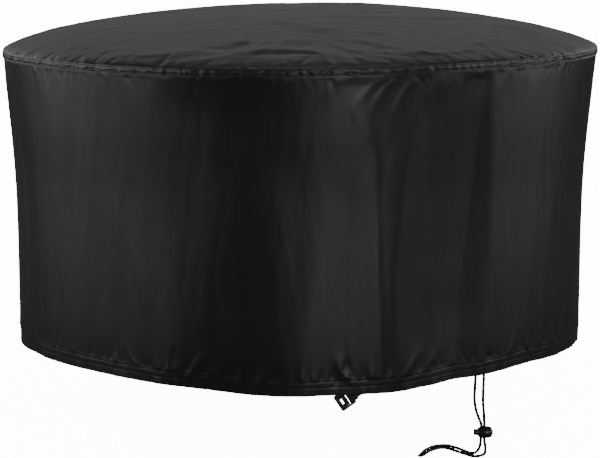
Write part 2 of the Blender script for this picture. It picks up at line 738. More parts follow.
def backed_cloth(
    name: str, outer: np.ndarray, uv: np.ndarray, depth: np.ndarray, stride: tuple[int, int], pole: bool
) -> bpy.types.Object:
    """Close a fine ring-shaped sheet of cloth with a coarser inner face.

    Formula: the inner face is every so many rows and columns of the outer one, pushed in along its normals. Its
    edges are joined to the outer edges by faces that take in all the fine points between two coarse ones.

    Args:
        name: Name of the piece.
        outer: Outer points, as rows by columns by 3, the columns joining up.
        uv: Flat coordinates of the outer points.
        depth: How far in the inner face lies, one number a row.
        stride: Rows and columns from one inner point to the next.
        pole: Whether the first row closes to a point in the middle.

    Returns:
        The new object.
    """
    rows, columns = outer.shape[:2]
    step, skip = stride
    picks = np.unique(np.concatenate([np.arange(0, rows, step), [rows - 1]]))
    spots = np.arange(0, columns, skip)
    normals = grid_normals(outer, True)
    inner = (outer - normals * depth[:, None, None])[picks][:, spots]
    count = rows * columns
    faces = [grid_quads(rows, columns, True), grid_quads(len(picks), len(spots), True, count)[:, ::-1]]
    points = [outer.reshape(-1, 3), inner.reshape(-1, 3)]
    flat = [uv.reshape(-1, 2), uv[picks][:, spots].reshape(-1, 2)]
    edges = [(rows - 1, len(picks) - 1, False)]
    if not pole:
        edges.append((0, 0, True))
    for outer_row, inner_row, swap in edges:
        fan = (spots[:, None] + np.arange(skip + 1)[None, :]) % columns + outer_row * columns
        here = np.arange(len(spots)) + count + inner_row * len(spots)
        ring = np.concatenate([fan, np.roll(here, -1)[:, None], here[:, None]], axis=1)
        faces.append(ring if swap else ring[:, ::-1])
    if pole:
        far = count + inner.shape[0] * inner.shape[1]
        points += [outer[0].mean(axis=0)[None], inner[0].mean(axis=0)[None]]
        flat += [uv[0].mean(axis=0)[None], uv[0].mean(axis=0)[None]]
        ring = np.arange(columns)
        faces.append(np.stack([ring, np.full(columns, far), np.roll(ring, -1)], axis=-1))
        ring = np.arange(len(spots)) + count
        faces.append(np.stack([np.roll(ring, -1), np.full(len(spots), far + 1), ring], axis=-1))
    item = place_mesh(name, np.concatenate(points), faces, np.concatenate(flat))
    turn_outward(item)
    return item


@dataclass
class Skirt:
    """The long side wall of the cover, with its folds, its gathers and its stitched hem."""

    shape: CoverShape
    hem_rows: tuple[float, float] = (0.0155, 0.0265)
    hem_fold: float = 0.0310
    groove: float = 0.0003
    groove_half: float = 0.0015
    folds: tuple[Fold | Pleat, ...] = FRONT_FOLDS
    seam_puckers: Puckers = Puckers(11, 0.019, (0.0030, 0.0065), (0.010, 0.036), (0.0003, 0.0013), 0.30)
    hem_puckers: Puckers = Puckers(23, 0.015, (0.0030, 0.0070), (0.012, 0.038), (0.0006, 0.0020), 0.25)
    band_puckers: Puckers = Puckers(37, 0.011, (0.0022, 0.0042), (0.010, 0.018), (0.0005, 0.0013), 0.15)

    def levels(self) -> np.ndarray:
        """Give the distances of the rows below the seam line, close together at the stitching."""
        height = self.shape.skirt_height
        return np.concatenate(
            [
                np.array([-self.shape.tuck, -0.005]),
                np.arange(0.0, 0.045, 0.0028),
                np.arange(0.045, height - 0.075, 0.0112),
                np.arange(height - 0.075, height - 0.034, 0.0040),
                np.arange(height - 0.034, height - 0.001, 0.0014),
                np.array([height]),
            ]
        )

    def cloth(self) -> tuple[np.ndarray, np.ndarray, np.ndarray]:
        """Work out the skirt's outer points.

        Formula: a ring at each level, its radius read from the plain profile, plus the broad folds, the creases,
        the gathers at the seam and the hem, the swelling of the hem's band and the two sunk rows of stitching.

        Returns:
            The points as rows by columns by 3, their flat coordinates, and the distance above the hem's edge.
        """
        shape = self.shape
        angle, drop = np.meshgrid(shape.columns(), self.levels())
        share = drop / shape.skirt_height
        rise = shape.skirt_height - drop
        ring = math.tau * 0.612
        arc = np.radians(angle) * 0.612
        radius = ease_table(shape.skirt_profile, 1, share)
        radius = radius + shape.broad_shift(angle, share)
        pinned = smooth_step(share, 0.0, 0.035)
        for fold in self.folds:
            radius = radius + pinned * fold.shift(angle, share)
        radius = radius + self.loose_creases(arc, drop)
        under = smooth_step(drop, 0.0, 0.010)
        radius = radius + under * self.seam_puckers.shift(arc, drop, ring)
        above = smooth_step(rise, self.hem_rows[1] - 0.004, self.hem_rows[1] + 0.010)
        radius = radius + above * self.hem_puckers.shift(arc, rise - self.hem_rows[1], ring)
        band = 1.0 - smooth_step(rise, self.hem_rows[1] - 0.002, self.hem_rows[1] + 0.006)
        radius = radius + band * self.band_puckers.shift(arc, rise, ring)
        for row in self.hem_rows:
            wander = 0.0004 * np.sin(arc * 31.0 + row * 900.0)
            radius = radius - self.groove * np.exp(-(((rise - row - wander) / self.groove_half) ** 2))
        tucked = shape.seam_radius - shape.cloth - shape.lap_gap
        radius = np.where(drop < 0.003, tucked, radius)
        seam, hem = shape.seam_line(angle), shape.hem_line(angle)
        height = np.where(share < 0.0, seam - drop, seam + (hem - seam) * share)
        turn = np.radians(angle)
        points = np.stack([radius * np.sin(turn), -radius * np.cos(turn), height], axis=-1)
        return points, np.stack([arc, -drop], axis=-1), rise

    def loose_creases(self, arc: np.ndarray, drop: np.ndarray) -> np.ndarray:
        """Work out the small random unevenness of the hanging cloth.

        Formula: long upright waves and shorter slanting ones, both from seeded dice, fading out at the seam.

        Args:
            arc: Distance round the cover.
            drop: Distance below the seam.

        Returns:
            The relief, in metres.
        """
        long = wave_field(arc, drop, 5, 18, 0.13, 0.9)
        short = wave_field(arc, drop, 8, 24, 0.045, 0.24)
        fade = smooth_step(drop, 0.0, 0.06)
        return fade * (0.00035 * long + 0.00006 * short)

    def build(self) -> tuple[bpy.types.Object, bpy.types.Object]:
        """Build the skirt and its hem stitching.

        Returns:
            The skirt, and the stitches of its hem.
        """
        shape = self.shape
        points, uv, rise = self.cloth()
        last = points[-1]
        turn = np.radians(shape.columns())
        inward = np.stack([-np.sin(turn), np.cos(turn), 0.0 * turn], axis=-1)
        lip = []
        for sink, lower in ((0.20, 0.0006), (0.50, 0.0009), (0.80, 0.0006), (1.0, 0.0)):
            lip.append(last + inward * shape.hem_cloth * sink + np.array([0.0, 0.0, -lower]))
        back = [points[-1 - count] + inward * shape.hem_cloth for count in (4, 10, 16, 21)]
        outer = np.concatenate([points, np.stack(lip + back)])
        extra = np.repeat(uv[-1:], len(lip) + len(back), axis=0)
        extra[:, :, 1] -= np.linspace(0.001, self.hem_fold, len(extra))[:, None]
        flat = np.concatenate([uv, extra])
        item = self.close(outer, flat, points, inward)
        normals = grid_normals(points, True)
        lines = []
        for row in self.hem_rows:
            spot = int(np.argmin(np.abs(rise[:, 0] - row)))
            lines.append((points[spot], normals[spot]))
        stitches = stitch_rows("hem_stitching", lines, 0.0058, 0.0011)
        return item, stitches

    def close(
        self, outer: np.ndarray, flat: np.ndarray, face: np.ndarray, inward: np.ndarray
    ) -> bpy.types.Object:
        """Add the coarser inside of the skirt, from the turned-up hem to the tucked top edge.

        Args:
            outer: Fine points, from the tucked edge over the outside and round the hem.
            flat: Their flat coordinates.
            face: The outside's own points.
            inward: Inward direction of each column.

        Returns:
            The closed skirt.
        """
        shape = self.shape
        columns = outer.shape[1]
        skip = 3
        spots = np.arange(0, columns, skip)
        rows = np.unique(np.concatenate([[0, 1], np.arange(4, len(face) - 30, 4), [len(face) - 24]]))[::-1]
        sink = np.full(len(rows), shape.cloth + 0.0010)
        sink[-2:] = shape.cloth
        inner = face[rows][:, spots] + inward[None, spots] * sink[:, None, None]
        count = outer.shape[0] * columns
        fine = outer.shape[0] - 1
        faces = [grid_quads(outer.shape[0], columns, True), grid_quads(len(rows), len(spots), True, count)]
        for fine_row, coarse_row, swap in ((fine, 0, False), (0, len(rows) - 1, True)):
            fan = (spots[:, None] + np.arange(skip + 1)[None, :]) % columns + fine_row * columns
            here = np.arange(len(spots)) + count + coarse_row * len(spots)
            ring = np.concatenate([fan, np.roll(here, -1)[:, None], here[:, None]], axis=1)
            faces.append(ring if swap else ring[:, ::-1])
        points = np.concatenate([outer.reshape(-1, 3), inner.reshape(-1, 3)])
        uv = np.concatenate([flat.reshape(-1, 2), flat[rows][:, spots].reshape(-1, 2)])
        item = place_mesh("skirt_cloth", points, faces, uv)
        turn_outward(item)
        return item


@dataclass
class TopPanel:
    """The domed top of the cover, with its creases and its border rolled down over the shoulder."""

    shape: CoverShape
    stitch_rises: tuple[float, float] = (0.0030, 0.0105)
    # Start and end in plan, bow to the side, half width, height in millimetres.
    creases: Rows = (
        (-0.074, -0.289, 0.197, -0.443, -0.034, 0.014, 2.9),
        (-0.041, -0.404, 0.102, -0.474, 0.002, 0.013, -2.7),
        (-0.019, -0.437, 0.154, -0.499, -0.019, 0.013, 2.2),
        (-0.082, -0.519, 0.037, -0.523, 0.000, 0.012, -2.5),
        (-0.163, -0.464, 0.041, -0.504, -0.025, 0.013, 1.9),
        (-0.187, -0.522, -0.088, -0.509, -0.017, 0.012, -1.7),
        (-0.150, -0.570, 0.055, -0.580, 0.020, 0.010, 1.7),
        (0.038, -0.279, 0.207, -0.260, 0.009, 0.016, -2.0),
        (0.107, -0.175, 0.200, -0.191, 0.006, 0.016, -1.7),
        (0.212, -0.264, 0.394, -0.109, -0.023, 0.018, -2.7),
        (0.298, -0.473, 0.406, -0.363, -0.011, 0.014, 1.4),
        (0.322, -0.471, 0.386, -0.410, -0.003, 0.014, -0.8),
        (-0.412, -0.347, -0.188, -0.508, -0.025, 0.014, -1.4),
        (-0.339, -0.499, -0.168, -0.534, -0.015, 0.012, 1.5),
        (-0.379, -0.280, -0.097, -0.388, -0.045, 0.018, 1.7),
        (-0.321, -0.255, -0.080, -0.288, -0.031, 0.018, -1.5),
        (0.185, -0.556, 0.341, -0.472, -0.017, 0.010, 1.4),
        (0.434, -0.326, 0.560, -0.208, -0.016, 0.012, 1.5),
        (0.394, -0.328, 0.548, -0.222, -0.006, 0.014, -1.5),
        (-0.541, -0.271, -0.403, -0.431, -0.004, 0.010, -1.5),
    )
    crease_gain: float = 1.35
    fine_seed: int = 71
    fine_count: int = 150
    rim_puckers: Puckers = Puckers(53, 0.019, (0.0035, 0.0080), (0.020, 0.065), (0.0005, 0.0018), 0.55)
    band_puckers: Puckers = Puckers(59, 0.0125, (0.0024, 0.0046), (0.008, 0.014), (0.0010, 0.0026), 0.70)

    def crease_relief(self, x: np.ndarray, y: np.ndarray) -> np.ndarray:
        """Work out the relief of the creases, in plan.

        Formula: each crease is a bell across a line that bows to one side, and fades out towards both its ends.

        Args:
            x: Places to the right.
            y: Places to the back.

        Returns:
            The relief, in metres.
        """
        rows = np.concatenate([np.array(self.creases), self.fine_creases()])
        total = np.zeros_like(x)
        for start_x, start_y, end_x, end_y, bow, half, high in rows:
            run_x, run_y = end_x - start_x, end_y - start_y
            length = math.hypot(run_x, run_y)
            along = ((x - start_x) * run_x + (y - start_y) * run_y) / length**2
            off = ((y - start_y) * run_x - (x - start_x) * run_y) / length
            off = off - bow * 4.0 * along * (1.0 - along)
            fade = smooth_step(along, -0.10, 0.25) * (1.0 - smooth_step(along, 0.75, 1.10))
            total += self.crease_gain * high * 0.001 * fade * np.exp(-((off / half) ** 2))
        return total

    def fine_creases(self) -> np.ndarray:
        """Throw the dice for the small creases, which run about from left to right.

        Returns:
            Rows laid out as those of the hand-placed creases.
        """
        dice = np.random.default_rng(self.fine_seed)
        count = self.fine_count
        reach = self.shape.seam_radius * 0.90 * np.sqrt(dice.uniform(0.0, 1.0, count))
        turn = dice.uniform(0.0, math.tau, count)
        x, y = reach * np.cos(turn), reach * np.sin(turn)
        pull = np.clip(reach / self.shape.seam_radius - 0.55, 0.0, 1.0) * 1.6
        lean = dice.normal(0.0, 0.20, count) + pull * np.arctan2(y * np.sign(x), np.abs(x))
        half_run = dice.uniform(0.03, 0.11, count)
        step_x, step_y = half_run * np.cos(lean), half_run * np.sin(lean)
        bow = dice.normal(0.0, 0.006, count)
        half = dice.uniform(0.005, 0.013, count)
        high = dice.uniform(0.25, 1.0, count) * dice.choice([-1.0, 1.0], count)
        return np.stack([x - step_x, y - step_y, x + step_x, y + step_y, bow, half, high], axis=-1)

    def rings(self) -> tuple[np.ndarray, np.ndarray]:
        """Give each ring's share of the seam radius and its distance down the rolled border."""
        flat = np.concatenate([np.linspace(0.012, 0.86, 60, endpoint=False), np.linspace(0.86, 0.97, 22)])
        roll = np.concatenate([flat, np.array([0.976, 0.982, 0.987, 0.991, 0.9945, 0.9970, 0.9990, 1.0])])
        drop = np.arange(0.0014, self.shape.lap_height + 0.0001, 0.00132)
        shares = np.concatenate([roll, np.ones(len(drop))])
        drops = np.concatenate([np.zeros(len(roll)), drop])
        return shares, drops

    def cloth(self) -> tuple[np.ndarray, np.ndarray, np.ndarray]:
        """Work out the top's outer points.

        Formula: rings whose height is read from the dome's profile, down to the shoulder and then straight down
        to the seam line. The swells, the creases and the gathers at the border are added along the normals.

        Returns:
            The points, their flat coordinates, and the distance above the seam line of each row.
        """
        shape = self.shape
        shares, drops = self.rings()
        angle, share = np.meshgrid(shape.columns(), shares)
        drop = np.broadcast_to(drops[:, None], share.shape)
        lost = ease_table(shape.top_profile, 1, share)
        seam = shape.seam_line(angle)
        shoulder = seam + shape.lap_height
        height = shape.cloth + (shoulder - shape.cloth) * lost / shape.top_profile[-1][1] - drop
        turn = np.radians(angle)
        radius = shape.seam_radius * share
        x, y = radius * np.sin(turn), -radius * np.cos(turn)
        inner = 1.0 - share**6
        height = height + inner * shape.swell(x, y)
        points = np.stack([x, y, height], axis=-1)
        normals = grid_normals(points, True)
        normals *= np.sign(normals[:1, :1, 2:3])
        arc = turn * shape.seam_radius
        above = (1.0 - share) * shape.seam_radius + (shape.lap_height - drop)
        ring = math.tau * shape.seam_radius
        calm = 1.0 - smooth_step(share, 0.93, 0.99)
        relief = calm * self.crease_relief(x, y)
        reach = above - 0.008
        relief = relief + smooth_step(reach, 0.0, 0.010) * self.rim_puckers.shift(arc, reach, ring)
        relief = relief + calm * 0.00020 * wave_field(y, x, 19, 26, 0.030, 0.35)
        relief = relief * smooth_step(share, 0.02, 0.08)
        band = 1.0 - smooth_step(above, 0.014, 0.022)
        relief = relief + band * smooth_step(above, 0.0, 0.004) * self.band_puckers.shift(arc, above, ring)
        for rise in self.stitch_rises:
            relief = relief - 0.0006 * np.exp(-(((above - rise) / 0.0012) ** 2))
        points = points + normals * relief[..., None]
        along = shape.seam_radius * share + drop
        uv = np.stack([along * np.sin(turn), -along * np.cos(turn)], axis=-1)
        return points, uv, above

    def build(self) -> tuple[bpy.types.Object, bpy.types.Object]:
        """Build the top and the stitching of its border.

        Returns:
            The top, and the stitches of the seam.
        """
        shape = self.shape
        points, uv, above = self.cloth()
        depth = np.full(len(points), shape.cloth + 0.0010)
        depth[-10:] = shape.cloth
        depth[:4] = shape.cloth
        item = backed_cloth("top_cloth", points, uv, depth, (3, 3), True)
        normals = grid_normals(points, True)
        normals *= np.sign(normals[:1, :1, 2:3])
        lines = []
        for rise in self.stitch_rises:
            spot = int(np.argmin(np.abs(above[:, 0] - rise)))
            lines.append((points[spot], normals[spot]))
        stitches = stitch_rows("seam_stitching", lines, 0.0058, 0.0011)
        return item, stitches


# ------------------------------------------------------------------------------ cords, lock and strap


def smooth_route(route: Rows, step: float) -> np.ndarray:
    """Read a smooth curve through route points at an even step.

    Formula: a cubic through each pair of points, whose slope at a point is half the way from the point before it
    to the point after it. The curve is then read again at equal distances along it.

    Args:
        route: Points that the curve goes through.
        step: Distance from reading to reading, in metres.

    Returns:
        The points, as count by 3.
    """
    given = np.array(route)
    given = np.concatenate([[given[0] * 2.0 - given[1]], given, [given[-1] * 2.0 - given[-2]]])
    before, start, end, after = given[:-3, None], given[1:-2, None], given[2:-1, None], given[3:, None]
    t = (np.arange(12) / 12.0)[None, :, None]
    bend = (end - before) * t + (before * 2.0 - start * 5.0 + end * 4.0 - after) * t**2
    bend = bend + (start * 3.0 - before - end * 3.0 + after) * t**3
    dense = np.concatenate([(start + bend * 0.5).reshape(-1, 3), given[-2:-1]])
    run = np.concatenate([[0.0], np.cumsum(np.linalg.norm(np.diff(dense, axis=0), axis=1))])
    marks = np.linspace(0.0, run[-1], max(3, int(round(run[-1] / step)) + 1))
    return np.stack([np.interp(marks, run, dense[:, axis]) for axis in range(3)], axis=-1)


def route_length(points: np.ndarray) -> float:
    """Give the length of a line of points."""
    return float(np.linalg.norm(np.diff(points, axis=0), axis=1).sum())


def steady_sides(path: np.ndarray) -> tuple[np.ndarray, np.ndarray]:
    """Give two directions across a path that don't twist along it.

    Formula: the first direction is carried from point to point, and loses at each what lies along the path.

    Args:
        path: Points, as count by 3.

    Returns:
        The first and the second direction at each point.
    """
    ahead = np.gradient(path, axis=0)
    ahead /= np.linalg.norm(ahead, axis=1, keepdims=True)
    side = np.cross(ahead[0], (0.0, 1.0, 0.0))
    sides = []
    for step in ahead:
        side = side - step * np.dot(side, step)
        side = side / np.linalg.norm(side)
        sides.append(side)
    first = np.array(sides)
    return first, np.cross(ahead, first)


def turned_mesh(
    name: str,
    profile: Rows,
    centre: tuple[float, float, float],
    steps: int,
    heading: float = 0.0,
    widen: float = 1.0,
) -> bpy.types.Object:
    """Turn a profile round a level axis.

    Args:
        name: Name of the piece.
        profile: Rows of place along the axis and radius. A radius of 0 makes a single point.
        centre: Where the axis has its place 0.
        steps: Points round the axis.
        heading: Direction of the axis in plan, in degrees from +X.
        widen: How many times wider than high the piece is.

    Returns:
        The new object, its faces turned outward.
    """
    rows = np.array(profile)
    turn = np.arange(steps) * math.tau / steps
    swing = math.radians(heading)
    ring = np.stack([np.cos(turn) * widen, np.sin(turn)], axis=-1)
    points, rings, faces, first = [], [], [], 0
    for place, radius in rows:
        block = ring * radius if radius > 0.0 else np.zeros((1, 2))
        points.append(np.concatenate([np.full((len(block), 1), place), block], axis=1))
        rings.append(first + np.arange(len(block)))
        first += len(block)
    for before, after in zip(rings[:-1], rings[1:]):
        if len(before) > 1 and len(after) > 1:
            faces.append(np.stack([before, np.roll(before, -1), np.roll(after, -1), after], axis=-1))
        elif len(after) > 1:
            faces.append(np.stack([np.full(steps, before[0]), np.roll(after, -1), after], axis=-1))
        elif len(before) > 1:
            faces.append(np.stack([before, np.roll(before, -1), np.full(steps, after[0])], axis=-1))
    local = np.concatenate(points)
    across = local[:, 0] * math.cos(swing) - local[:, 1] * math.sin(swing)
    along = local[:, 0] * math.sin(swing) + local[:, 1] * math.cos(swing)
    placed = np.stack([across, along, local[:, 2]], axis=-1) + np.array(centre)
    item = place_mesh(name, placed, faces, sharp=40.0)
    turn_outward(item)
    return item


def rounder(profile: Rows, parts: int) -> Rows:
    """Put more rows into a turned profile, on a smooth curve through its own rows."""
    rows = np.array(profile)
    fine = smooth_route(tuple((float(a), float(b), 0.0) for a, b in rows), 1.0 / parts)
    return tuple((float(a), float(max(b, 0.0))) for a, b, _ in fine)


def oblong(centre: tuple[float, float, float], slot: tuple[float, float, float], depth: float) -> bpy.types.Object:
    """Make an upright cutter with round ends.

    Args:
        centre: Middle of what is cut.
        slot: Left end, right end and half width.
        depth: Half of the cutter's height.

    Returns:
        The cutter.
    """
    left, right, half = slot
    turn = np.linspace(math.pi / 2.0, math.pi * 1.5, 17)
    one = np.stack([left + half + half * np.cos(turn), half * np.sin(turn)], axis=-1)
    two = np.stack([right - half - half * np.cos(turn), -half * np.sin(turn)], axis=-1)
    outline = np.concatenate([one, two]) + np.array(centre[:2])
    low = np.column_stack([outline, np.full(len(outline), centre[2] - depth)])
    high = np.column_stack([outline, np.full(len(outline), centre[2] + depth)])
    return extrude_outline("cutter", low, high)


@dataclass(frozen=True)
class Strand:
    """One strand of the drawcord: a braided tube along its route."""

    name: str
    node: str
    route: Rows
    radius: float = 0.0030
    step: float = 0.0011
    sides: int = 24
    bundles: int = 4
    twist: float = 470.0
    relief: float = 0.055

    def path(self) -> np.ndarray:
        """Give the middle of the strand's rings."""
        return smooth_route(self.route, self.step)

    def build(self) -> bpy.types.Object:
        """Build the braided tube.

        Formula: the radius at each point is the plain radius, raised where a bundle of yarns turning left or one
        turning right lies on top: the higher of two sines of the turn plus or less the distance along.

        Returns:
            The strand.
        """
        path = self.path()
        first, second = steady_sides(path)
        turn = np.arange(self.sides) * math.tau / self.sides
        run = np.arange(len(path))[:, None] * self.step
        one = np.sin(self.bundles * turn[None, :] + self.twist * run)
        two = np.sin(self.bundles * turn[None, :] - self.twist * run)
        radius = self.radius * (1.0 - self.relief + self.relief * 1.6 * np.maximum(one, two))
        ring = first[:, None] * np.cos(turn)[None, :, None] + second[:, None] * np.sin(turn)[None, :, None]
        points = (path[:, None] + ring * radius[..., None]).reshape(-1, 3)
        count, sides = len(path), self.sides
        ends = np.stack([path[0], path[-1]])
        here = np.arange(sides)
        start = np.stack([np.roll(here, -1), here, np.full(sides, count * sides)], axis=-1)
        here = here + (count - 1) * sides
        finish = np.stack([here, np.roll(here, -1), np.full(sides, count * sides + 1)], axis=-1)
        faces = [grid_quads(count, sides, True)[:, ::-1], start[:, ::-1], finish[:, ::-1]]
        flat = np.stack([np.broadcast_to(turn * self.radius, (count, sides)), np.broadcast_to(run, (count, sides))], -1)
        flat = np.concatenate([flat.reshape(-1, 2), np.zeros((2, 2))])
        item = place_mesh(self.name, np.concatenate([points, ends]), faces, flat)
        turn_outward(item)
        return item


@dataclass
class Drawcord:
    """Both strands of the drawcord and the end where they are joined."""

    left: Strand = Strand(
        "cord_left",
        "drawcord_left",
        (
            (0.3452, -0.4500, -0.6830),
            (0.3447, -0.4520, -0.7050),
            (0.3438, -0.4520, -0.7280),
            (0.3434, -0.4520, -0.7514),
            (0.3480, -0.4520, -0.7758),
            (0.3570, -0.4520, -0.8000),
            (0.3570, -0.4520, -0.8165),
            (0.3568, -0.4520, -0.8335),
            (0.3552, -0.4500, -0.8470),
            (0.3490, -0.4505, -0.8570),
            (0.3393, -0.4520, -0.8592),
            (0.3256, -0.4365, -0.8588),
            (0.3090, -0.4135, -0.8585),
            (0.2915, -0.4001, -0.8585),
            (0.2696, -0.4052, -0.8588),
            (0.2512, -0.4264, -0.8595),
            (0.2381, -0.4565, -0.8606),
        ),
    )
    right: Strand = Strand(
        "cord_right",
        "drawcord_right",
        (
            (0.3614, -0.4500, -0.6830),
            (0.3610, -0.4520, -0.7050),
            (0.3604, -0.4520, -0.7280),
            (0.3602, -0.4520, -0.7514),
            (0.3620, -0.4520, -0.7758),
            (0.3636, -0.4520, -0.8000),
            (0.3635, -0.4520, -0.8165),
            (0.3640, -0.4520, -0.8335),
            (0.3662, -0.4530, -0.8470),
            (0.3640, -0.4590, -0.8585),
            (0.3530, -0.4660, -0.8608),
            (0.3400, -0.4680, -0.8608),
            (0.3173, -0.4425, -0.8608),
            (0.3015, -0.4205, -0.8608),
            (0.2894, -0.4095, -0.8608),
            (0.2750, -0.4130, -0.8608),
            (0.2585, -0.4312, -0.8608),
            (0.2438, -0.4596, -0.8608),
        ),
    )
    tip_centre: tuple[float, float, float] = (0.2374, -0.4644, -0.8609)
    tip_heading: float = 241.0
    tip_widen: float = 2.1
    tip_profile: Rows = (
        (-0.0060, 0.0),
        (-0.0058, 0.0016),
        (-0.0052, 0.0025),
        (-0.0040, 0.0029),
        (-0.0010, 0.0028),
        (0.0022, 0.0027),
        (0.0042, 0.0022),
        (0.0056, 0.0015),
        (0.0063, 0.0007),
        (0.0065, 0.0),
    )

    def build(self) -> tuple[bpy.types.Object, bpy.types.Object, bpy.types.Object]:
        """Build both strands and the joined end."""
        tip = turned_mesh("cord_joined_end", self.tip_profile, self.tip_centre, 32, self.tip_heading, self.tip_widen)
        return self.left.build(), self.right.build(), tip


@dataclass
class CordLock:
    """The cord lock: a rounded barrel, and the press button that slides in it."""

    centre: tuple[float, float, float] = (0.3662, -0.4520, -0.8165)
    # Place along the length, radius.
    barrel_profile: Rows = (
        (-0.0150, 0.0084),
        (-0.0147, 0.0089),
        (-0.0138, 0.0096),
        (-0.0115, 0.0103),
        (-0.0090, 0.0109),
        (-0.0060, 0.0114),
        (-0.0030, 0.0118),
        (0.0000, 0.01195),
        (0.0030, 0.0120),
        (0.0055, 0.0118),
        (0.0075, 0.0114),
        (0.0095, 0.0106),
        (0.0110, 0.0096),
        (0.0124, 0.0083),
        (0.0135, 0.0066),
        (0.0142, 0.0050),
        (0.0146, 0.0036),
        (0.0149, 0.0018),
        (0.0150, 0.0),
    )
    button_profile: Rows = (
        (-0.0236, 0.0),
        (-0.0236, 0.0030),
        (-0.0235, 0.0050),
        (-0.0232, 0.0058),
        (-0.0226, 0.0063),
        (-0.0218, 0.0064),
        (0.0045, 0.0064),
        (0.0045, 0.0),
    )
    bore: float = 0.0067
    bore_end: float = 0.0085
    cord_slot: tuple[float, float, float] = (-0.0126, 0.0007, 0.0034)
    button_window: tuple[float, float, float] = (-0.0156, 0.0006, 0.0034)
    dimple_offset: float = 0.0068
    dimple_radius: float = 0.0012
    dimple_depth: float = 0.0110
    edge: float = 0.0004

    def build(self) -> tuple[bpy.types.Object, bpy.types.Object]:
        """Build the barrel and the button.

        Returns:
            The barrel, and the button.
        """
        mouth = self.barrel_profile[0][0]
        inside = ((self.bore_end, 0.0), (self.bore_end, self.bore), (mouth, self.bore))
        barrel = turned_mesh("lock_barrel", inside + self.barrel_profile, self.centre, 56)
        cut_away(barrel, oblong(self.centre, self.cord_slot, 0.02))
        place = (self.centre[0] + self.dimple_offset, self.centre[1] - 0.02, self.centre[2])
        hole = ((0.0, 0.0), (0.0, self.dimple_radius), (self.dimple_depth, self.dimple_radius), (self.dimple_depth, 0.0))
        cut_away(barrel, turned_mesh("cutter", hole, place, 24, 90.0))
        soften_edges(barrel, self.edge)
        button = turned_mesh("lock_button", self.button_profile, self.centre, 48)
        cut_away(button, oblong(self.centre, self.button_window, 0.02))
        soften_edges(button, self.edge * 0.5)
        return barrel, button


